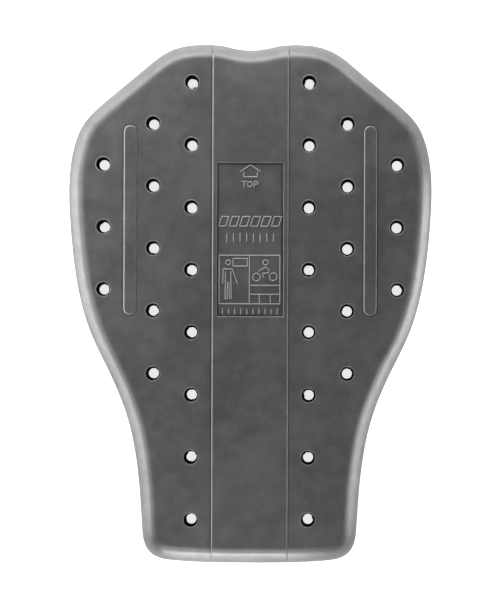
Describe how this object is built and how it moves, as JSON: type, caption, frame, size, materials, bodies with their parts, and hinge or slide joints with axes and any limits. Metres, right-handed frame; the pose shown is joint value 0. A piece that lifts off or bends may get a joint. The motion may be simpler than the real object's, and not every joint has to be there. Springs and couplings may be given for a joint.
{
  "type": "back protector",
  "caption": "Flexible foam back pad with wide shoulders, a narrower lumbar end, rounded rim, raised centre band with a sunk label field, two ribs and columns of vent holes.",
  "frame": {"origin": "middle of the pad's plan on the surface that its back lies on", "axes": "+X across the back, +Y toward the shoulder end, +Z out of the face that carries the band and the label field"},
  "size_m": [0.35, 0.5, 0.018],
  "materials": {
    "foam_skin": "satin"
  },
  "bodies": {
    "root": {"foam_pad": "foam_skin"}
  },
  "joints": []
}
